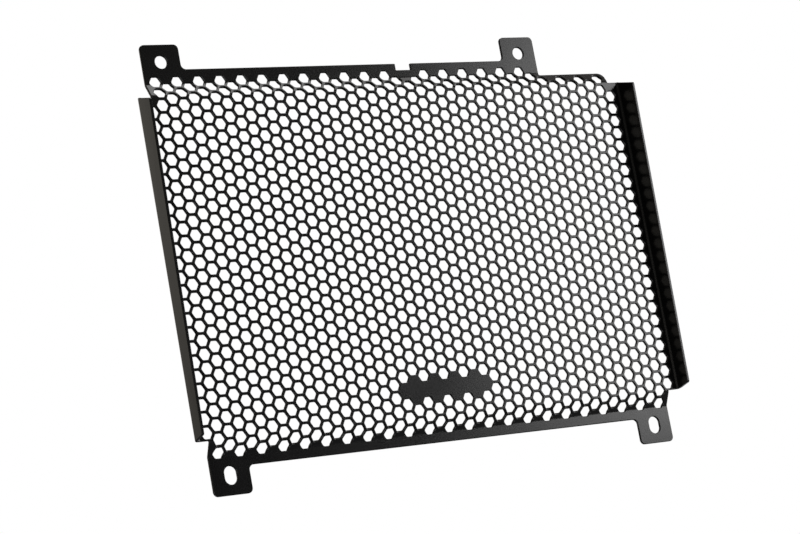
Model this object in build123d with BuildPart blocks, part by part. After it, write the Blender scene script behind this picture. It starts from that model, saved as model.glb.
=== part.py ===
"""Motorcycle radiator guard: one metal sheet, cut flat with its honeycomb of holes, then folded.

X runs to the right of someone who faces the guard, Z is up and the front looks towards -Y.
The origin lies midway between the two lower slots, on the plane where the ears bear.
"""

import os
from math import cos, radians, sin, sqrt, tan

from build123d import *

# Sheet and its folds, in millimetres and degrees
SHEET = 1.5
BEND_RADIUS = 1.5  # inside of every fold
SET_BACK = 4.0  # the ears bear this far behind the panel
STEP_ANGLE = 32.0  # slope of the steps above and below the panel, from upright

# Panel between its four folds
PANEL_WIDTH = 281.5  # over both side flanges
PANEL_HEIGHT = 165.0  # flat between the upper and lower folds

# Side flanges, folded forward
FLANGE_TOP_DEPTH = 14.0  # from the panel's back to the free edge, at the upper end
FLANGE_FOOT_DEPTH = 10.2
FLANGE_TOP_SLANT = 3.7  # how far the end drops towards the free edge
FLANGE_FOOT_SLANT = 1.9
FLANGE_CORNER = 1.0

# Bands above and below the panel: each is a step and a narrow flange
BAND_WIDTH = 266.0
UPPER_BAND = 14.7  # from the end of the flat panel to the cut edge
LOWER_BAND = 12.6
SHORT_BAND = 6.0  # what is left of the upper band outside the inner ear
SHORT_CORNER = 3.5

# Notch in the upper edge
NOTCH_X = 11.6
NOTCH_WIDTH = 8.8
NOTCH_DEPTH = 3.4

# Ears: one in three corners, and the inner one on the right of the upper edge
EAR_WIDTH = 20.5
EAR_CORNER = 2.4
EAR_ROOT = 2.5
INNER_EAR_X = 82.9
UPPER_HOLE_RISE = 3.8  # upper holes above the upper band's edge
LOWER_SLOT_DROP = 3.9  # lower slots below the lower band's edge
UPPER_EAR_TIP = 8.7  # ear's end beyond its hole
LOWER_EAR_TIP = 9.3
BOLT_HOLE = 6.5  # clears an M6 screw
SLOT_LENGTH = 8.8

# Honeycomb. The real one has rows 6.7 mm apart and webs of 1.2 mm. This one is drawn coarser,
# with the same share of open area and the same borders.
HEX_PITCH = 14.9  # row to row
HEX_WEB = 2.7
EDGE_WEB = 0.6  # least sheet left between a hole and a cut edge
PLATE_WIDTH = 47.0  # bare field low on the panel: no hole is centred in it
PLATE_HEIGHT = 10.7
PLATE_RISE = 13.7  # its middle above the flat panel's foot

# Places that follow from the sizes above
panel_y = -SET_BACK - SHEET / 2
band_y = -SHEET / 2
lower_edge = LOWER_SLOT_DROP
panel_foot = lower_edge + LOWER_BAND
panel_top = panel_foot + PANEL_HEIGHT
upper_edge = panel_top + UPPER_BAND
upper_hole = upper_edge + UPPER_HOLE_RISE
mid_radius = BEND_RADIUS + SHEET / 2
fold_tangent = mid_radius * tan(radians(STEP_ANGLE / 2))
upper_fold = panel_top + fold_tangent
lower_fold = panel_foot - fold_tangent
step_run = SET_BACK / tan(radians(STEP_ANGLE))
step_length = SET_BACK / sin(radians(STEP_ANGLE))
short_edge = panel_top + SHORT_BAND
upper_tip = upper_hole + UPPER_EAR_TIP
lower_tip = -LOWER_EAR_TIP
band_side = BAND_WIDTH / 2
ear_inside = band_side - EAR_WIDTH
corner_ear_x = band_side - EAR_WIDTH / 2
plate_middle = panel_foot + PLATE_RISE
cut_depth = 2 * (SET_BACK + SHEET)


# Panel with its side flanges
flange_x = (PANEL_WIDTH - SHEET) / 2
panel_back = -SET_BACK
panel_front = panel_back - SHEET
top_free_edge = panel_back - FLANGE_TOP_DEPTH
foot_free_edge = panel_back - FLANGE_FOOT_DEPTH
side_outline = [
    (panel_back, panel_foot, 0),
    (panel_front, panel_foot, 0),
    (foot_free_edge, panel_foot + FLANGE_FOOT_SLANT, FLANGE_CORNER),
    (top_free_edge, panel_top - FLANGE_TOP_SLANT, FLANGE_CORNER),
    (panel_front, panel_top, 0),
    (panel_back, panel_top, 0),
]
deepest = min(top_free_edge, foot_free_edge)

with BuildPart() as panel:
    with BuildSketch(Plane.XY.offset(panel_foot)):
        with BuildLine():
            FilletPolyline(
                (-flange_x, deepest),
                (-flange_x, panel_y),
                (flange_x, panel_y),
                (flange_x, deepest),
                radius=mid_radius,
            )
        trace(line_width=SHEET)
    extrude(amount=PANEL_HEIGHT)
    with BuildSketch(Plane.YZ):
        with BuildLine():
            FilletPolyline(
                *[(y, z) for y, z, radius in side_outline],
                radius=[radius for y, z, radius in side_outline],
                close=True,
            )
        make_face()
    extrude(amount=PANEL_WIDTH, both=True, mode=Mode.INTERSECT)


# Honeycomb, laid out on the flat sheet: s is the height along the sheet before the folds
hex_flats = HEX_PITCH - HEX_WEB
hex_radius = hex_flats / sqrt(3)
hexagon = [
    (hex_radius, 0),
    (hex_radius / 2, hex_flats / 2),
    (-hex_radius / 2, hex_flats / 2),
    (-hex_radius, 0),
    (-hex_radius / 2, -hex_flats / 2),
    (hex_radius / 2, -hex_flats / 2),
]
column_step = HEX_PITCH * sqrt(3) / 2


def unfolded(z):
    """Height along the flat sheet of the point that folds to height z."""
    above = z - upper_fold
    below = lower_fold - z
    if above > 0:
        on_step = min(above, step_run)
        return upper_fold + on_step / cos(radians(STEP_ANGLE)) + above - on_step
    if below > 0:
        on_step = min(below, step_run)
        return lower_fold - on_step / cos(radians(STEP_ANGLE)) - below + on_step
    return z


def folded(s):
    """Height after folding of the point at height s along the flat sheet."""
    above = s - upper_fold
    below = lower_fold - s
    if above > 0:
        on_step = min(above, step_length)
        return upper_fold + on_step * cos(radians(STEP_ANGLE)) + above - on_step
    if below > 0:
        on_step = min(below, step_length)
        return lower_fold - on_step * cos(radians(STEP_ANGLE)) - below + on_step
    return s


def has_hole(x, s):
    """True where a hexagon centred at x, s keeps its border to the folds and the cut edges."""
    side = abs(x) + hex_radius
    top = s + hex_flats / 2 + EDGE_WEB
    foot = s - hex_flats / 2 - EDGE_WEB
    on_plate = abs(x) < PLATE_WIDTH / 2 and abs(s - plate_middle) < PLATE_HEIGHT / 2
    on_panel = top < panel_top and foot > panel_foot
    panel_reach = PANEL_WIDTH / 2 - SHEET - BEND_RADIUS - EDGE_WEB
    if on_plate or side > panel_reach:
        return False
    if on_panel:
        return True
    past_inner_ear = x + hex_radius + EDGE_WEB > INNER_EAR_X + EAR_WIDTH / 2
    under_notch = abs(x - NOTCH_X) < NOTCH_WIDTH / 2 + hex_radius + EDGE_WEB
    ceiling = short_edge if past_inner_ear else upper_edge - NOTCH_DEPTH * under_notch
    return side + EDGE_WEB < band_side and top < unfolded(ceiling) and foot > unfolded(lower_edge)


sheet_top = unfolded(upper_edge)
sheet_foot = unfolded(lower_edge)
honeycomb_middle = (sheet_top + sheet_foot) / 2
half_rows = int((sheet_top - sheet_foot) / HEX_PITCH)
half_columns = int(PANEL_WIDTH / 2 / column_step)

with BuildSketch(Plane.XZ) as honeycomb:
    for row in range(-half_rows, half_rows + 1):
        row_s = honeycomb_middle + row * HEX_PITCH / 2
        columns = [c for c in range(-half_columns, half_columns + 1) if (c + row) % 2 == 0]
        places = [(c * column_step, 0) for c in columns if has_hole(c * column_step, row_s)]
        if places:
            with Locations(*places):
                Polygon(*[(dx, folded(row_s + ds)) for dx, ds in hexagon], align=None)


# Outline of the bands and ears, from the lower left ear round by the right: x, z and corner radius
band_outline = [
    (-band_side, lower_tip, EAR_CORNER),
    (-ear_inside, lower_tip, EAR_CORNER),
    (-ear_inside, lower_edge, EAR_ROOT),
    (ear_inside, lower_edge, EAR_ROOT),
    (ear_inside, lower_tip, EAR_CORNER),
    (band_side, lower_tip, EAR_CORNER),
    (band_side, short_edge, SHORT_CORNER),
    (INNER_EAR_X + EAR_WIDTH / 2, short_edge, 0),
    (INNER_EAR_X + EAR_WIDTH / 2, upper_tip, EAR_CORNER),
    (INNER_EAR_X - EAR_WIDTH / 2, upper_tip, EAR_CORNER),
    (INNER_EAR_X - EAR_WIDTH / 2, upper_edge, EAR_ROOT),
    (NOTCH_X + NOTCH_WIDTH / 2, upper_edge, 0),
    (NOTCH_X + NOTCH_WIDTH / 2, upper_edge - NOTCH_DEPTH, 0),
    (NOTCH_X - NOTCH_WIDTH / 2, upper_edge - NOTCH_DEPTH, 0),
    (NOTCH_X - NOTCH_WIDTH / 2, upper_edge, 0),
    (-ear_inside, upper_edge, EAR_ROOT),
    (-ear_inside, upper_tip, EAR_CORNER),
    (-band_side, upper_tip, EAR_CORNER),
]

# Whole guard: the folded bands cut to their outline, the panel between them and the holes
with BuildPart() as guard:
    with BuildSketch(Plane.YZ):
        with BuildLine():
            FilletPolyline(
                (band_y, lower_tip),
                (band_y, lower_fold - step_run),
                (panel_y, lower_fold),
                (panel_y, upper_fold),
                (band_y, upper_fold + step_run),
                (band_y, upper_tip),
                radius=mid_radius,
            )
        trace(line_width=SHEET)
    extrude(amount=band_side, both=True)
    with BuildSketch(Plane.XZ):
        with BuildLine():
            FilletPolyline(
                *[(x, z) for x, z, radius in band_outline],
                radius=[radius for x, z, radius in band_outline],
                close=True,
            )
        make_face()
        with Locations((-corner_ear_x, upper_hole), (INNER_EAR_X, upper_hole)):
            Circle(BOLT_HOLE / 2, mode=Mode.SUBTRACT)
        with Locations((-corner_ear_x, 0), (corner_ear_x, 0)):
            SlotOverall(SLOT_LENGTH, BOLT_HOLE, rotation=90, mode=Mode.SUBTRACT)
    extrude(amount=cut_depth, both=True, mode=Mode.INTERSECT)
    add(panel.part)
    extrude(honeycomb.sketch, amount=cut_depth, both=True, mode=Mode.SUBTRACT)

guard.part.label = "radiator_guard"
print("holes:", len(honeycomb.sketch.faces()), "volume:", round(guard.part.volume), "mm3")

os.makedirs("parts", exist_ok=True)
export_step(guard.part, "parts/radiator_guard.step")
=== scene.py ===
# %% [markdown]
# # A motorcycle radiator guard
#
# The guard is bolted in front of a motorcycle's radiator and keeps stones off its fins. The real one is
# a single aluminium sheet: its outline and its honeycomb of holes are cut while it is flat, then it is
# folded, then it gets a black powder coat. This lesson works in the same order. A hole that lies across
# a fold then bends by itself, as it does in the press, and nothing has to be modelled at an angle.
#
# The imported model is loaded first. It fixes the frame and the size, and everything below is in metres.

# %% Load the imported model
from math import ceil, cos, degrees, pi, radians, sin, sqrt, tan

import bmesh
import bpy
from mathutils import Matrix, Vector


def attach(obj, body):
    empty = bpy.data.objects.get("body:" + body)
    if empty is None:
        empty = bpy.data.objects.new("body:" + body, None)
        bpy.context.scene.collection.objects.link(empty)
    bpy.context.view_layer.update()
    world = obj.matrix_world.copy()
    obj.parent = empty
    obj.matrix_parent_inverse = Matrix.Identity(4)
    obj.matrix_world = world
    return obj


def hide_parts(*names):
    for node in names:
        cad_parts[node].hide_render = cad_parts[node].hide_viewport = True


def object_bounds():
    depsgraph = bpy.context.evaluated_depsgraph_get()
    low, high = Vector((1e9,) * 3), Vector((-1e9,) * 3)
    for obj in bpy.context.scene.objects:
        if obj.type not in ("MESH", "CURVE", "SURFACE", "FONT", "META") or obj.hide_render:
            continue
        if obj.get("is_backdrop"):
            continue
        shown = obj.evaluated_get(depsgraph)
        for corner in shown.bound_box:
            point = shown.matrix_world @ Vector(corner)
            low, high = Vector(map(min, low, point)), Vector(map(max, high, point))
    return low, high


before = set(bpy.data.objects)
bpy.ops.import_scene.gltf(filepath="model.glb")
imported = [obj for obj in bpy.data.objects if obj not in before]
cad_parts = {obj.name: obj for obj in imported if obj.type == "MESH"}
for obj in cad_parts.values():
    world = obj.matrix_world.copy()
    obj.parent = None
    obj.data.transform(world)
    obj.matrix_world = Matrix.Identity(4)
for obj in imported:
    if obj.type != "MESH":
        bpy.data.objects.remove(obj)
cad_low, cad_high = [Vector(corner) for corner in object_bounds()]
guard_middle = (cad_low + cad_high) / 2
scene = bpy.context.scene
MM = 0.001
print("CAD box in mm:", [round(side / MM, 1) for side in cad_high - cad_low])

# %% [markdown]
# ## The finish: satin black powder coat
#
# Powder coat is a polyester paint, sprayed on dry and baked. It lies like a thin skin of dark plastic,
# so the metal below doesn't show and the shader is a plain dielectric: nearly black, with the
# refraction index of a resin. To the eye it is the gloss that draws the sheet: wide soft reflections of
# the lamps slide over it, and where nothing bright is mirrored it is black. Baked powder flows out like
# orange peel, with hills about a millimetre apart and a few micrometres high, and it is not equally
# smooth everywhere. Two noise textures on Object coordinates give that. Their scales are the number of
# hills to the metre.

# %% Colours and nodes
def linear(hex_colour):
    """Linear RGBA of an sRGB hex colour."""
    levels = [int(hex_colour[i:i + 2], 16) / 255 for i in (1, 3, 5)]
    return (*[v / 12.92 if v <= 0.04045 else ((v + 0.055) / 1.055) ** 2.4 for v in levels], 1.0)


def node(tree, kind, *sources, output=None, **settings):
    """Adds a node with its settings, fills its inputs in order and returns its named or first output."""
    made = tree.nodes.new(kind)
    for name, value in settings.items():
        setattr(made, name, value)
    for socket, source in zip([s for s in made.inputs if s.enabled], sources):
        for item in source if isinstance(source, list) else [source]:
            if isinstance(item, bpy.types.NodeSocket):
                tree.links.new(item, socket)
            elif item is not None:
                socket.default_value = item
    return made.outputs[output] if output else next(s for s in made.outputs if s.enabled)


print("grey #808080 is", round(linear("#808080")[0], 3), "in linear light")

# %% Powder coat
COAT_COLOUR = "#131314"
COAT_IOR = 1.5
COAT_ROUGHNESS = 0.21
ROUGHNESS_SPREAD = 0.03
PATCH_SIZE = 25 * MM
PATCH_DETAIL = 2.0
PEEL_SIZE = 1.2 * MM
PEEL_DETAIL = 1.0
PEEL_HEIGHT = 0.003 * MM
NOISE_SPAN = (0.3, 0.7)  # most values of a noise texture lie between these

coat = bpy.data.materials.new("Satin black powder coat on aluminium")
coat.use_nodes = True
paint = coat.node_tree
shader = paint.nodes["Principled BSDF"]
shader.inputs["Base Color"].default_value = linear(COAT_COLOUR)
shader.inputs["IOR"].default_value = COAT_IOR
place = node(paint, "ShaderNodeTexCoord", output="Object")
patches = node(paint, "ShaderNodeTexNoise", place, 1 / PATCH_SIZE, PATCH_DETAIL)
roughness = node(
    paint, "ShaderNodeMapRange", patches, *NOISE_SPAN,
    COAT_ROUGHNESS - ROUGHNESS_SPREAD / 2, COAT_ROUGHNESS + ROUGHNESS_SPREAD / 2,
)
paint.links.new(roughness, shader.inputs["Roughness"])
peel = node(paint, "ShaderNodeTexNoise", place, 1 / PEEL_SIZE, PEEL_DETAIL)
relief = node(paint, "ShaderNodeBump", 1.0, PEEL_HEIGHT, None, peel)
paint.links.new(relief, shader.inputs["Normal"])
print("coat:", coat.name, "with", len(paint.nodes), "nodes")

# %% [markdown]
# ## The two profiles of the folded sheet
#
# Seen from the side, the sheet runs up the lower ears, steps forward to the panel and steps back to the
# upper ears. Seen from above, it runs along one side flange, across the panel and along the other
# flange. These two lines, drawn through the middle of the sheet, say all there is to say about the
# folds. Each is a short list of corners, and one function puts an arc of short chords in place of a
# corner that has a radius.

# %% Rounded corners
ANGLE_SLACK = 0.01  # of a chord, so that a rounding error doesn't add one


def rounded(corners, chord):
    """Points through corners (a, b, radius), with chords of that angle round each radius above zero."""
    points = []
    for i, (a, b, radius) in enumerate(corners):
        corner = Vector((a, b))
        if radius == 0:
            points.append(corner)
            continue
        before = (Vector(corners[i - 1][:2]) - corner).normalized()
        after = (Vector(corners[(i + 1) % len(corners)][:2]) - corner).normalized()
        half = before.angle(after) / 2
        centre = corner + (before + after).normalized() * radius / sin(half)
        start = corner + before * radius / tan(half) - centre
        end = corner + after * radius / tan(half) - centre
        count = ceil(start.angle(end) / chord - ANGLE_SLACK)
        points += [centre + start.slerp(end, k / count).normalized() * radius for k in range(count + 1)]
    return points


right_angle = [(1, 0, 0), (0, 0, 0.5), (0, 1, 0)]
print("arc of a right angle:", len(rounded(right_angle, radians(15))) - 2, "points")

# %% Side profile
SHEET = 1.5 * MM
BEND_RADIUS = 1.5 * MM
SET_BACK = 4.0 * MM
STEP_ANGLE = radians(32)
PANEL_HEIGHT = 165.0 * MM
LOWER_EDGE = 3.9 * MM
LOWER_BAND = 12.6 * MM
FOLD_CHORD = radians(8)
SPARE = 5 * MM  # each profile runs on past the edge of the sheet by this

mid_radius = BEND_RADIUS + SHEET / 2
panel_foot = LOWER_EDGE + LOWER_BAND
panel_top = panel_foot + PANEL_HEIGHT
panel_y = -SET_BACK - SHEET / 2
band_y = -SHEET / 2
fold_tangent = mid_radius * tan(STEP_ANGLE / 2)
step_run = SET_BACK / tan(STEP_ANGLE)
upper_fold = panel_top + fold_tangent
lower_fold = panel_foot - fold_tangent
side_profile = rounded([
    (band_y, cad_low.z - SPARE, 0),
    (band_y, lower_fold - step_run, mid_radius),
    (panel_y, lower_fold, mid_radius),
    (panel_y, upper_fold, mid_radius),
    (band_y, upper_fold + step_run, mid_radius),
    (band_y, cad_high.z + SPARE, 0),
], FOLD_CHORD)
print("side profile:", len(side_profile), "points")

# %% Profile from above
PANEL_WIDTH = 281.5 * MM
FLANGE_TOP_DEPTH = 14.0 * MM
SIDE_FOLD_CHORD = radians(15)

flange_x = (PANEL_WIDTH - SHEET) / 2
plan_profile = rounded([
    (-flange_x, -FLANGE_TOP_DEPTH - SPARE, 0),
    (-flange_x, 0, mid_radius),
    (flange_x, 0, mid_radius),
    (flange_x, -FLANGE_TOP_DEPTH - SPARE, 0),
], SIDE_FOLD_CHORD)
print("profile from above:", len(plan_profile), "points")

# %% [markdown]
# ## Back to the flat blank
#
# A fold moves the sheet but doesn't stretch its middle, so a place on the flat blank is a length
# measured along a profile. The two helpers below measure it: up() for heights and out() for how far the
# flanges reach. The blank then has its own coordinates, x across and the length along the side profile
# upwards.

# %% Flat lengths
def lengths(profile):
    """Length of sheet from a profile's start to each of its points."""
    reach = [0.0]
    for a, b in zip(profile, profile[1:]):
        reach.append(reach[-1] + (b - a).length)
    return reach


def along(profile, axis, target):
    """Length of sheet from a profile's start to where it first passes a place on one axis."""
    reach = lengths(profile)
    for i, (a, b) in enumerate(zip(profile, profile[1:])):
        if a[axis] < b[axis] and a[axis] <= target <= b[axis]:
            return reach[i] + (reach[i + 1] - reach[i]) * (target - a[axis]) / (b[axis] - a[axis])


half_blank = lengths(plan_profile)[-1] / 2


def up(height):
    """Flat place of a height on the standing guard."""
    return along(side_profile, 1, height)


def out(depth):
    """Flat distance from the middle to where a flange has come forward of the panel by that depth."""
    return half_blank - along(plan_profile, 1, -depth)


print("flat blank in mm:", round(2 * out(FLANGE_TOP_DEPTH - SHEET / 2) / MM, 1), "by",
      round((up(cad_high.z) - up(cad_low.z)) / MM, 1))

# %% [markdown]
# ## The cut outline
#
# The edge of the blank is a list of corners again, each with its own rounding: three ears sit in
# corners, the fourth stands in from the right, a small notch interrupts the upper edge, and the ends of
# the flanges slope. Bolt holes in the upper ears are round. Those in the lower ears are drawn out
# upright, so that the guard can settle in height. All of it becomes one mesh of closed loops of edges,
# still without any face: the next step fills the sheet and leaves the holes open in one go.

# %% Sizes of the outline
UPPER_BAND = 14.7 * MM
SHORT_BAND = 6.0 * MM
BAND_WIDTH = 266.0 * MM
FLANGE_FOOT_DEPTH = 10.2 * MM
FLANGE_TOP_SLANT = 3.7 * MM
FLANGE_FOOT_SLANT = 1.9 * MM
FLANGE_CORNER = 1.0 * MM
SHORT_CORNER = 3.5 * MM
CUT_CORNER = 0.4 * MM
EAR_WIDTH = 20.5 * MM
EAR_CORNER = 2.4 * MM
EAR_ROOT = 2.5 * MM
INNER_EAR_X = 82.9 * MM
NOTCH_X = 11.6 * MM
NOTCH_WIDTH = 8.8 * MM
NOTCH_DEPTH = 3.4 * MM
UPPER_HOLE = 200.0 * MM
BOLT_RADIUS = 3.25 * MM
SLOT_STRAIGHT = 2.3 * MM

band_side = BAND_WIDTH / 2
ear_inside = band_side - EAR_WIDTH
corner_ear_x = band_side - EAR_WIDTH / 2
inner_left, inner_right = INNER_EAR_X - EAR_WIDTH / 2, INNER_EAR_X + EAR_WIDTH / 2
notch_left, notch_right = NOTCH_X - NOTCH_WIDTH / 2, NOTCH_X + NOTCH_WIDTH / 2
flange_root = out(SHEET / 2)
flange_top = out(FLANGE_TOP_DEPTH - SHEET / 2)
flange_foot = out(FLANGE_FOOT_DEPTH - SHEET / 2)
upper_edge = panel_top + UPPER_BAND
short_edge = panel_top + SHORT_BAND
print("flat flanges reach", round(flange_top / MM, 1), "mm from the middle above and",
      round(flange_foot / MM, 1), "mm below")

# %% Corners of the outline
outline = [
    (-band_side, cad_low.z, EAR_CORNER),
    (-ear_inside, cad_low.z, EAR_CORNER),
    (-ear_inside, LOWER_EDGE, EAR_ROOT),
    (ear_inside, LOWER_EDGE, EAR_ROOT),
    (ear_inside, cad_low.z, EAR_CORNER),
    (band_side, cad_low.z, EAR_CORNER),
    (band_side, panel_foot, CUT_CORNER),
    (flange_root, panel_foot, 0),
    (flange_foot, panel_foot + FLANGE_FOOT_SLANT, FLANGE_CORNER),
    (flange_top, panel_top - FLANGE_TOP_SLANT, FLANGE_CORNER),
    (flange_root, panel_top, 0),
    (band_side, panel_top, CUT_CORNER),
    (band_side, short_edge, SHORT_CORNER),
    (inner_right, short_edge, CUT_CORNER),
    (inner_right, cad_high.z, EAR_CORNER),
    (inner_left, cad_high.z, EAR_CORNER),
    (inner_left, upper_edge, EAR_ROOT),
    (notch_right, upper_edge, 0),
    (notch_right, upper_edge - NOTCH_DEPTH, CUT_CORNER),
    (notch_left, upper_edge - NOTCH_DEPTH, CUT_CORNER),
    (notch_left, upper_edge, 0),
    (-ear_inside, upper_edge, EAR_ROOT),
    (-ear_inside, cad_high.z, EAR_CORNER),
    (-band_side, cad_high.z, EAR_CORNER),
    (-band_side, panel_top, CUT_CORNER),
    (-flange_root, panel_top, 0),
    (-flange_top, panel_top - FLANGE_TOP_SLANT, FLANGE_CORNER),
    (-flange_foot, panel_foot + FLANGE_FOOT_SLANT, FLANGE_CORNER),
    (-flange_root, panel_foot, 0),
    (-band_side, panel_foot, CUT_CORNER),
]
print("outline:", len(outline), "corners")

# %% Cut lines
BOLT_POINTS = 32
OUTLINE_CHORD = radians(15)


def bolt_loop(x, height, straight):
    """Loop of a round bolt hole that is drawn out upright by a straight length."""
    loop = []
    for k in range(BOLT_POINTS):
        angle = 2 * pi * (k + 0.5) / BOLT_POINTS
        rise = straight / 2 if angle < pi else -straight / 2
        loop.append(Vector((x + BOLT_RADIUS * cos(angle), up(height) + BOLT_RADIUS * sin(angle) + rise)))
    return loop


loops = [
    rounded([(x, up(height), radius) for x, height, radius in outline], OUTLINE_CHORD),
    bolt_loop(-corner_ear_x, UPPER_HOLE, 0),
    bolt_loop(INNER_EAR_X, UPPER_HOLE, 0),
    bolt_loop(-corner_ear_x, 0, SLOT_STRAIGHT),
    bolt_loop(corner_ear_x, 0, SLOT_STRAIGHT),
]
points, edges = [], []
for loop in loops:
    first = len(points)
    points += [(point.x, point.y, 0) for point in loop]
    edges += [(first + k, first + (k + 1) % len(loop)) for k in range(len(loop))]
cut_lines = bpy.data.meshes.new("cut_lines")
cut_lines.from_pydata(points, edges, [])
print("cut lines:", len(loops), "loops of", len(points), "points")

# %% [markdown]
# ## The honeycomb
#
# The grille has hexagons in upright columns, every other column half a pitch lower, and leaves out
# those that would break into an edge or into the bare plate. More than a thousand equal holes by one
# rule are work for Geometry Nodes. A Boolean with an array of prisms could cut them too, but an Array
# can't leave single ones out. A grid gives the centres and every other column drops. A stencil of
# rectangles lies just under the blank, and a ray from each centre that hits it leaves that hole out.
# The hexagons lose their sharp corners, which the coat fills. Joined with the cut lines, they go into
# Fill Curve, which fills the sheet and leaves every inner loop open. It is told to make few large
# faces, so that the edges can be broken evenly later on.

# %% Sizes of the honeycomb
HEX_PITCH = 6.7 * MM
HEX_FLATS = 5.4 * MM
HEX_CORNER = 0.6 * MM
HEX_COLUMNS = 47
HEX_ROWS = 28
HEX_MIDDLE = 100.5 * MM
PLATE_WIDTH = 47.0 * MM
PLATE_HEIGHT = 10.7 * MM
PLATE_MIDDLE = 30.2 * MM
print("web between holes:", round((HEX_PITCH - HEX_FLATS) / MM, 2), "mm")

# %% Stencil of the places without holes
STENCIL_DROP = 10 * MM

half_flats = HEX_FLATS / 2
wide = PANEL_WIDTH
low = up(cad_low.z)
high = up(cad_high.z)
# The lowered columns would have one more hole at the foot, which is left out.
last_row = up(HEX_MIDDLE) - (HEX_ROWS - 0.5) * HEX_PITCH / 2
plate_foot = up(PLATE_MIDDLE) - PLATE_HEIGHT / 2
bare_fields = {
    "plate": (-PLATE_WIDTH / 2, plate_foot, PLATE_WIDTH / 2, plate_foot + PLATE_HEIGHT),
    "notch": (notch_left, up(upper_edge - NOTCH_DEPTH) - HEX_PITCH / 2, notch_right, high),
    "short band": (inner_right - half_flats, up(short_edge) - half_flats, wide, high),
    "upper left corner": (-wide, up(panel_top) - half_flats, half_flats - band_side, high),
    "upper right corner": (band_side - half_flats, up(panel_top) - half_flats, wide, high),
    "lower left corner": (-wide, low, half_flats - band_side, up(panel_foot) + half_flats),
    "lower right corner": (band_side - half_flats, low, wide, up(panel_foot) + half_flats),
    "lower edge": (-wide, low, wide, last_row),
}


def put_in_scene(name, data):
    """Object at the origin that shows a mesh, curve, lamp or camera."""
    made = bpy.data.objects.new(name, data)
    scene.collection.objects.link(made)
    return made


points, faces = [], []
for x0, y0, x1, y1 in bare_fields.values():
    faces.append(range(len(points), len(points) + 4))
    points += [(x, y, -STENCIL_DROP) for x, y in ((x0, y0), (x1, y0), (x1, y1), (x0, y1))]
stencil_mesh = bpy.data.meshes.new("stencil")
stencil_mesh.from_pydata(points, [], faces)
stencil = put_in_scene("stencil", stencil_mesh)
print("stencil:", ", ".join(bare_fields))


# %% Centres of the holes
def new_tree(name, **inputs):
    """Geometry node tree with named inputs of the given kinds, and the sockets that bring them in."""
    tree = bpy.data.node_groups.new(name, "GeometryNodeTree")
    tree.interface.new_socket("Geometry", in_out="INPUT", socket_type="NodeSocketGeometry")
    for label, kind in inputs.items():
        tree.interface.new_socket(label, in_out="INPUT", socket_type="NodeSocket" + kind)
    tree.interface.new_socket("Geometry", in_out="OUTPUT", socket_type="NodeSocketGeometry")
    return tree, tree.nodes.new("NodeGroupInput").outputs


comb, given = new_tree(
    "Honeycomb blank", Pitch="Float", Flats="Float", Corner="Float", Columns="Int", Rows="Int",
    Middle="Float", Stencil="Object", Material="Material",
)
column_step = node(comb, "ShaderNodeMath", given["Pitch"], sqrt(3) / 2, operation="MULTIPLY")
gaps_across = node(comb, "ShaderNodeMath", given["Columns"], 1.0, operation="SUBTRACT")
gaps_up = node(comb, "ShaderNodeMath", given["Rows"], 1.0, operation="SUBTRACT")
width = node(comb, "ShaderNodeMath", column_step, gaps_across, operation="MULTIPLY")
height = node(comb, "ShaderNodeMath", given["Pitch"], gaps_up, operation="MULTIPLY")
grid = node(comb, "GeometryNodeMeshGrid", width, height, given["Columns"], given["Rows"])

centre = node(comb, "GeometryNodeInputPosition")
centre_x = node(comb, "ShaderNodeSeparateXYZ", centre, output="X")
column = node(comb, "ShaderNodeMath", centre_x, column_step, operation="DIVIDE")
column = node(comb, "ShaderNodeMath", column, operation="ROUND")
odd = node(comb, "ShaderNodeMath", column, 2.0, operation="FLOORED_MODULO")
half_pitch = node(comb, "ShaderNodeMath", given["Pitch"], -0.5, operation="MULTIPLY")
shift = node(comb, "ShaderNodeMath", odd, half_pitch, given["Middle"], operation="MULTIPLY_ADD")
shift = node(comb, "ShaderNodeCombineXYZ", 0.0, shift, 0.0)
centres = node(comb, "GeometryNodeSetPosition", grid, None, None, shift)

fields = node(comb, "GeometryNodeObjectInfo", given["Stencil"], output="Geometry")
bare = node(comb, "GeometryNodeRaycast", fields, None, None, (0, 0, -1), 2 * STENCIL_DROP)
open_here = node(comb, "FunctionNodeBooleanMath", bare, operation="NOT")
print("grid of centres:", HEX_COLUMNS, "by", HEX_ROWS)

# %% Holes cut from the sheet
hex_radius = node(comb, "ShaderNodeMath", given["Flats"], sqrt(3), operation="DIVIDE")
hexagon = node(comb, "GeometryNodeCurvePrimitiveCircle", 6, hex_radius)
hexagon = node(comb, "GeometryNodeFilletCurve", hexagon, 1, given["Corner"], mode="POLY")
holes = node(comb, "GeometryNodeInstanceOnPoints", centres, open_here, hexagon)
holes = node(comb, "GeometryNodeRealizeInstances", holes)
edge = node(comb, "GeometryNodeMeshToCurve", given["Geometry"])
cuts = node(comb, "GeometryNodeJoinGeometry", [edge, holes])
sheet = node(comb, "GeometryNodeFillCurve", cuts, mode="NGONS")
sheet = node(comb, "GeometryNodeRealizeInstances", sheet)
sheet = node(comb, "GeometryNodeSetMaterial", sheet, None, given["Material"])
comb.links.new(sheet, comb.nodes.new("NodeGroupOutput").inputs[0])
print("honeycomb tree:", len(comb.nodes), "nodes")


# %% Cut the blank
def as_mesh(carrier):
    """Plain mesh of an object as its modifiers leave it. The object and its own mesh are removed."""
    result = bpy.data.meshes.new_from_object(carrier.evaluated_get(bpy.context.evaluated_depsgraph_get()))
    bpy.data.meshes.remove(carrier.data)
    return result


def grown(mesh, tree, **inputs):
    """Plain mesh that a node tree makes of a mesh, with the tree's inputs set by their identifiers."""
    carrier = put_in_scene(tree.name, mesh)
    modifier = carrier.modifiers.new(tree.name, "NODES")
    modifier.node_group = tree
    for item in tree.interface.items_tree:
        if item.in_out == "INPUT" and item.name in inputs:
            modifier[item.identifier] = inputs[item.name]
    return as_mesh(carrier)


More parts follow.
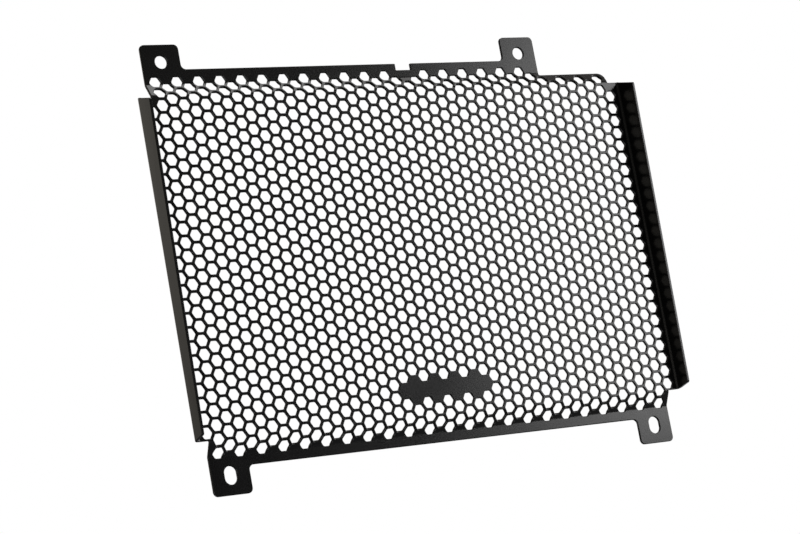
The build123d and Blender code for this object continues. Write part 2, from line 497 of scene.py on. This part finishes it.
blank = grown(
    cut_lines, comb, Pitch=HEX_PITCH, Flats=HEX_FLATS, Corner=HEX_CORNER, Columns=HEX_COLUMNS,
    Rows=HEX_ROWS, Middle=up(HEX_MIDDLE), Stencil=stencil, Material=coat,
)
bpy.data.meshes.remove(stencil_mesh)
open_loops = 1 - (len(blank.vertices) - len(blank.edges) + len(blank.polygons))
print("blank:", len(blank.polygons), "faces and", open_loops, "holes")

# %% [markdown]
# ## Thickness and broken edges
#
# So far the blank has no thickness. Solidify gives it half to each side of the middle that the profiles
# run through. A laser leaves sharp edges. They are tumbled before the coat goes on, because powder
# draws back from a sharp edge, and the coat then rounds them further. A Bevel on every edge near a
# right angle stands for that. Its clamp is off, because it would narrow every bevel to what the two
# closest points allow. Loop Slide is off too, or a new point would slide along an edge inside the face,
# past its neighbour, and turn small faces over. All this is done while the sheet is flat and its faces
# are large, and the faces become triangles only afterwards.

# %% Give the sheet its thickness
EDGE_BREAK = 0.3 * MM
EDGE_ANGLE = radians(70)

flat_sheet = put_in_scene("flat_sheet", blank)
thickness = flat_sheet.modifiers.new("Sheet", "SOLIDIFY")
thickness.thickness = SHEET
thickness.offset = 0
tumbled = flat_sheet.modifiers.new("Broken edges", "BEVEL")
tumbled.width = EDGE_BREAK
tumbled.segments = 1
tumbled.limit_method = "ANGLE"
tumbled.angle_limit = EDGE_ANGLE
tumbled.use_clamp_overlap = False
tumbled.loop_slide = False
flat_sheet.modifiers.new("Triangles", "TRIANGULATE")
thick_blank = as_mesh(flat_sheet)
print("flat sheet:", len(thick_blank.polygons), "triangles")

# %% [markdown]
# ## Fold lines
#
# A face can bend only along an edge that it has. The blank is therefore cut through, without removing
# anything, along a straight line at each point of the two profiles: four narrow strips at each step
# fold and six at each side fold. Bisect does that to whatever faces lie across the line, the walls of
# the holes included. Subdividing the whole sheet would also do, but with many more faces. A point that
# is nearer to the line than a fiftieth of a millimetre counts as lying on it, so that no sliver is cut
# off.

# %% Mark the folds
SNAP = 0.02 * MM

marks = [(Vector((0, reach, 0)), Vector((0, 1, 0))) for reach in lengths(side_profile)[1:-1]]
marks += [(Vector((reach - half_blank, 0, 0)), Vector((1, 0, 0))) for reach in lengths(plan_profile)[1:-1]]
folding = bmesh.new()
folding.from_mesh(thick_blank)
for spot, normal in marks:
    everything = folding.verts[:] + folding.edges[:] + folding.faces[:]
    bmesh.ops.bisect_plane(folding, geom=everything, dist=SNAP, plane_co=spot, plane_no=normal)
folding.to_mesh(thick_blank)
folding.free()
print("fold lines:", len(marks), "- faces now:", len(thick_blank.polygons))

# %% [markdown]
# ## The press brake
#
# Now each point of the blank is carried to its place on the two profiles. Sample Curve does it: given a
# length, it returns the position that far along a curve. The height along the blank is read on the side
# profile, the distance across on the profile from above, and the two positions are added. How far a
# point lies in front of the sheet's middle is then laid off along the front's normal, which follows
# from the directions of the two curves. Where one curve bends the other is straight, so their normals
# add up to the right one, less the flat sheet's own. Sample Curve has a Tangent too, but it blends from
# one point of the curve to the next, also over a long straight stretch. Each direction is therefore
# taken from two more samples, just before and just after. Working out bends with sines would give the
# same shape, but the two curves can be checked by eye.

# %% Profiles as curves
def profile_curve(name, places):
    """Curve object through a list of places."""
    data = bpy.data.curves.new(name, "CURVE")
    data.dimensions = "3D"
    spline = data.splines.new("POLY")
    spline.points.add(len(places) - 1)
    for point, position in zip(spline.points, places):
        point.co = (*position, 1)
    return put_in_scene(name, data)


side_curve = profile_curve("side_profile", [(0, y, z) for y, z in side_profile])
plan_curve = profile_curve("plan_profile", [(x, y, 0) for x, y in plan_profile])
print("curves:", side_curve.name, "and", plan_curve.name)

# %% Press brake tree
DIRECTION_STEP = 0.15 * MM

brake, given = new_tree("Press brake", Side="Object", Plan="Object", Half="Float", Material="Material")
flat_place = node(brake, "GeometryNodeInputPosition")
flat_x = node(brake, "ShaderNodeSeparateXYZ", flat_place, output="X")
flat_up = node(brake, "ShaderNodeSeparateXYZ", flat_place, output="Y")
flat_front = node(brake, "ShaderNodeSeparateXYZ", flat_place, output="Z")
across = node(brake, "ShaderNodeMath", flat_x, given["Half"], operation="ADD")
side_line = node(brake, "GeometryNodeObjectInfo", given["Side"], output="Geometry")
plan_line = node(brake, "GeometryNodeObjectInfo", given["Plan"], output="Geometry")


def on_profile(line, reach):
    """Place on a profile after some length of sheet, and the direction in which the sheet runs there."""
    samples = []
    for step in (-DIRECTION_STEP, 0, DIRECTION_STEP):
        length = node(brake, "ShaderNodeMath", reach, step, operation="ADD")
        samples.append(node(
            brake, "GeometryNodeSampleCurve", line, None, length, output="Position", mode="LENGTH",
        ))
    before, here, after = samples
    direction = node(brake, "ShaderNodeVectorMath", after, before, operation="SUBTRACT")
    return here, node(brake, "ShaderNodeVectorMath", direction, operation="NORMALIZE")


risen, upward = on_profile(side_line, flat_up)
spread, sideways = on_profile(plan_line, across)
folded_place = node(brake, "ShaderNodeVectorMath", risen, spread, operation="ADD")
side_front = node(brake, "ShaderNodeVectorMath", (1, 0, 0), upward, operation="CROSS_PRODUCT")
plan_front = node(brake, "ShaderNodeVectorMath", sideways, (0, 0, 1), operation="CROSS_PRODUCT")
front = node(brake, "ShaderNodeVectorMath", side_front, plan_front, operation="ADD")
front = node(brake, "ShaderNodeVectorMath", front, (0, 1, 0), operation="ADD")
lift = node(brake, "ShaderNodeVectorMath", front, flat_front, operation="SCALE")
bent = node(brake, "GeometryNodeSetPosition", given["Geometry"], None, folded_place, lift)
bent = node(brake, "GeometryNodeRealizeInstances", bent)
bent = node(brake, "GeometryNodeSetMaterial", bent, None, given["Material"])
brake.links.new(bent, brake.nodes.new("NodeGroupOutput").inputs[0])
print("press brake tree:", len(brake.nodes), "nodes")

# %% Fold
folded = grown(thick_blank, brake, Side=side_curve, Plan=plan_curve, Half=half_blank, Material=coat)
for curve in (side_curve, plan_curve):
    bpy.data.curves.remove(curve.data)
print("folded in mm:", [round((max(c) - min(c)) / MM, 1) for c in zip(*[v.co for v in folded.vertices])])

# %% [markdown]
# ## Shading
#
# The strips of a fold should look like one bend, and a flat stretch beside it should stay flat. All
# faces are shaded smooth, apart from edges that turn by more than the limit below, mostly the borders
# of the broken edges. Weighted Normal then lets the large faces decide along each fold line, or the
# narrow strips would bend the light on the panel.

# %% Smooth folds and crisp edges
CRISP_ANGLE = radians(35)
LARGE_FACE_WEIGHT = 100

for face in folded.polygons:
    face.use_smooth = True
folded.set_sharp_from_angle(angle=CRISP_ANGLE)
shaded = put_in_scene("shaded", folded)
even = shaded.modifiers.new("Even shading", "WEIGHTED_NORMAL")
even.weight = LARGE_FACE_WEIGHT
even.keep_sharp = True
finished = as_mesh(shaded)
finished.name = "guard_sheet"
guard = put_in_scene("guard_sheet", finished)
finished.calc_loop_triangles()
print("guard:", len(finished.loop_triangles), "triangles")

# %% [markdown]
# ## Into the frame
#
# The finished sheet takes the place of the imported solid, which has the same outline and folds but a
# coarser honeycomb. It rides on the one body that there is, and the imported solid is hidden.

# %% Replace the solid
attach(guard, "root")
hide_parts("radiator_guard")
print("replaced radiator_guard with", guard.name)

# %% [markdown]
# ## Floor
#
# The picture shows the guard against plain white, from a little below. The floor is pale and matt and
# lies well under the guard, where it takes a soft shadow. Further out it turns white, as paper rolled
# up behind a product does. That white is light only for the camera and for reflections, so it adds none
# to the guard. Black gloss is as bright as what it mirrors, and in the picture much of the guard
# mirrors a dark room. Reflections therefore find the white on two sides only, left in front and to the
# right.

# %% Pale sides
PALE_SIDES = (radians(-30), radians(98))
PALE_SPREAD = radians(32)
PALE_FADE = radians(12)


def pale_sides(tree, place):
    """Mask, from 0 to 1, of the directions round the guard in which reflections find a pale studio."""
    flat = node(tree, "ShaderNodeVectorMath", place, (1, 1, 0), operation="MULTIPLY")
    flat = node(tree, "ShaderNodeVectorMath", flat, operation="NORMALIZE")
    sides = []
    for turn in PALE_SIDES:
        side = (sin(turn), -cos(turn), 0)
        facing = node(tree, "ShaderNodeVectorMath", flat, side, operation="DOT_PRODUCT")
        sides.append(node(
            tree, "ShaderNodeMapRange", facing, cos(PALE_SPREAD + PALE_FADE), cos(PALE_SPREAD),
            interpolation_type="SMOOTHSTEP",
        ))
    return node(tree, "ShaderNodeMath", *sides, operation="MAXIMUM")


print("pale sides at", [round(degrees(turn)) for turn in PALE_SIDES], "degrees right of the front")

# %% Floor with a white sweep
FLOOR_HEIGHT = -0.16
FLOOR_REACH = 12.0
FLOOR_COLOUR = "#a0a0a0"
WHITE = "#ffffff"
NEAR_WHITE = 0.5  # share of white close to the guard, for the camera
SEEN_FADE = (0.3, 1.5)  # metres over which the floor turns white for the camera
MIRRORED_FADE = (0.35, 0.6)  # the same for reflections

signs = ((-1, -1), (1, -1), (1, 1), (-1, 1))
corners = [(x * FLOOR_REACH, y * FLOOR_REACH, FLOOR_HEIGHT) for x, y in signs]
floor_mesh = bpy.data.meshes.new("floor")
floor_mesh.from_pydata(corners, [], [(0, 1, 2, 3)])
floor = put_in_scene("floor", floor_mesh)
paper = bpy.data.materials.new("Pale matt paper floor")
paper.use_nodes = True
tree = paper.node_tree
tree.nodes.clear()
spot = node(tree, "ShaderNodeTexCoord", output="Object")
away = node(tree, "ShaderNodeVectorMath", spot, operation="LENGTH")
ray = tree.nodes.new("ShaderNodeLightPath").outputs
seen_white = node(
    tree, "ShaderNodeMapRange", away, *SEEN_FADE, NEAR_WHITE, 1.0, interpolation_type="SMOOTHSTEP",
)
seen_white = node(tree, "ShaderNodeMath", seen_white, ray["Is Camera Ray"], operation="MULTIPLY")
mirrored_white = node(tree, "ShaderNodeMapRange", away, *MIRRORED_FADE, interpolation_type="SMOOTHSTEP")
mirrored_white = node(tree, "ShaderNodeMath", mirrored_white, pale_sides(tree, spot), operation="MULTIPLY")
gloss = node(tree, "ShaderNodeMath", ray["Is Glossy Ray"], ray["Is Transmission Ray"], operation="MAXIMUM")
mirrored_white = node(tree, "ShaderNodeMath", mirrored_white, gloss, operation="MULTIPLY")
sweep = node(tree, "ShaderNodeMath", seen_white, mirrored_white, operation="MAXIMUM")
matt = node(tree, "ShaderNodeBsdfDiffuse", linear(FLOOR_COLOUR))
white = node(tree, "ShaderNodeEmission", linear(WHITE), 1.0)
surface = node(tree, "ShaderNodeMixShader", sweep, matt, white)
tree.links.new(surface, tree.nodes.new("ShaderNodeOutputMaterial").inputs[0])
floor_mesh.materials.append(paper)
floor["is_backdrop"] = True
print("floor at", FLOOR_HEIGHT, "m")

# %% [markdown]
# ## Backdrop and lamps
#
# The camera sees white all round. Reflections see less: a backdrop straight behind the guard, a little
# warmer than the floor, which the left flange mirrors, the two pale sides close above the floor, and a
# faint glow that grows towards the ceiling. The rest of the room is dark, and faces that mirror it stay
# black. Two softboxes do the lighting. One stands to the right, and its near edge is what the panel
# mirrors: the sheet goes from black on the left to grey on the right. The other hangs overhead, turned
# so that its edge crosses the reflection in the step above the panel at a slant, and the step darkens
# slowly to the right.

# %% World
# Soft edges in the world lie between two values of the direction's unit vector: of its backward part
# for BACKDROP_SIDES and of its upward part for the other pairs.
BACKDROP_SIDES = (0.75, 0.88)
BACKDROP_FOOT = (-0.08, 0.42)
BACKDROP_TOP = (0.15, 0.45)
PALE_TOP = (0.0, 0.13)
GLOW_RISE = (0.0, 0.9)
CEILING_GLOW = 0.25
AMBIENT = 0.1
WARM_WHITE = "#fff8eb"

world = bpy.data.worlds.new("studio")
scene.world = world
world.use_nodes = True
tree = world.node_tree
tree.nodes.clear()
heading = node(tree, "ShaderNodeTexCoord", output="Generated")
backwards = node(tree, "ShaderNodeSeparateXYZ", heading, output="Y")
above = node(tree, "ShaderNodeSeparateXYZ", heading, output="Z")
behind = node(tree, "ShaderNodeMapRange", backwards, *BACKDROP_SIDES, interpolation_type="SMOOTHSTEP")
foot = node(tree, "ShaderNodeMapRange", above, *BACKDROP_FOOT, interpolation_type="SMOOTHSTEP")
top = node(tree, "ShaderNodeMapRange", above, *BACKDROP_TOP, 1.0, 0.0, interpolation_type="SMOOTHSTEP")
backdrop = node(tree, "ShaderNodeMath", foot, top, operation="MULTIPLY")
backdrop = node(tree, "ShaderNodeMath", backdrop, behind, operation="MULTIPLY")
near_floor = node(tree, "ShaderNodeMapRange", above, *PALE_TOP, 1.0, 0.0, interpolation_type="SMOOTHSTEP")
sides = node(tree, "ShaderNodeMath", near_floor, pale_sides(tree, heading), operation="MULTIPLY")
pale = node(tree, "ShaderNodeMath", backdrop, sides, operation="MAXIMUM")
glow = node(tree, "ShaderNodeMapRange", above, *GLOW_RISE, 0.0, CEILING_GLOW)
mirrored = node(tree, "ShaderNodeMapRange", pale, 0.0, 1.0, glow, 1.0)
ray = tree.nodes.new("ShaderNodeLightPath").outputs
gloss = node(tree, "ShaderNodeMath", ray["Is Glossy Ray"], ray["Is Transmission Ray"], operation="MAXIMUM")
level = node(tree, "ShaderNodeMix", gloss, AMBIENT, mirrored)
level = node(tree, "ShaderNodeMath", level, ray["Is Camera Ray"], operation="MAXIMUM")
tint = node(tree, "ShaderNodeMix", gloss, linear(WHITE), linear(WARM_WHITE), data_type="RGBA")
sky = node(tree, "ShaderNodeBackground", tint, level)
tree.links.new(sky, tree.nodes.new("ShaderNodeOutputWorld").inputs[0])
print("world:", world.name, "with", len(tree.nodes), "nodes")


# %% Softboxes
def softbox(name, azimuth, elevation, roll, distance, width, height, radiance):
    """Rectangular lamp that faces the guard, at degrees right of its front and above its middle."""
    lamp = bpy.data.lights.new(name, "AREA")
    lamp.shape = "RECTANGLE"
    lamp.size = width
    lamp.size_y = height
    lamp.energy = radiance * pi * width * height
    turn, rise = radians(azimuth), radians(elevation)
    away = Vector((sin(turn) * cos(rise), -cos(turn) * cos(rise), sin(rise)))
    facing = away.to_track_quat("Z", "Y").to_matrix().to_4x4() @ Matrix.Rotation(-radians(roll), 4, "Z")
    put_in_scene(name, lamp).matrix_world = Matrix.Translation(guard_middle + away * distance) @ facing
    print(name, round(lamp.energy, 1), "W")


softbox(
    "right_softbox", azimuth=59, elevation=8.6, roll=6, distance=1.6, width=1.3, height=0.57, radiance=4.4,
)
softbox(
    "upper_softbox", azimuth=48, elevation=68, roll=20, distance=1.6, width=0.9, height=0.9, radiance=2.65,
)
scene.view_settings.view_transform = "Standard"

# %% [markdown]
# ## Camera
#
# The camera stands low on the left and looks up a little, with a long lens that keeps the sides of the
# guard nearly parallel. The picture was taken with the guard, or the camera, turned by about ten
# degrees, so the camera rolls by that much.

# %% Camera
CAMERA_AT = Vector((-678.6, -1064.4, -125.2)) * MM
CAMERA_AIM = Vector((-13.6, -4.75, 91.45)) * MM
CAMERA_ROLL = radians(10.37)
SENSOR_WIDTH = 36.0
LENS = 116.68

view = bpy.data.cameras.new("camera")
view.sensor_width = SENSOR_WIDTH
view.lens = LENS
camera = put_in_scene("camera", view)
look = (CAMERA_AIM - CAMERA_AT).to_track_quat("-Z", "Y").to_matrix().to_4x4()
camera.matrix_world = Matrix.Translation(CAMERA_AT) @ look @ Matrix.Rotation(-CAMERA_ROLL, 4, "Z")
scene.camera = camera
print("camera", round((CAMERA_AIM - CAMERA_AT).length, 2), "m from the guard")

# %% Sizes of the imported model and of the finished scene
visual_low, visual_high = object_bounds()
{"cad": [list(cad_low), list(cad_high)], "visual": [list(visual_low), list(visual_high)]}
print("visual box in mm:", [round((b - a) / MM, 1) for a, b in zip(visual_low, visual_high)])
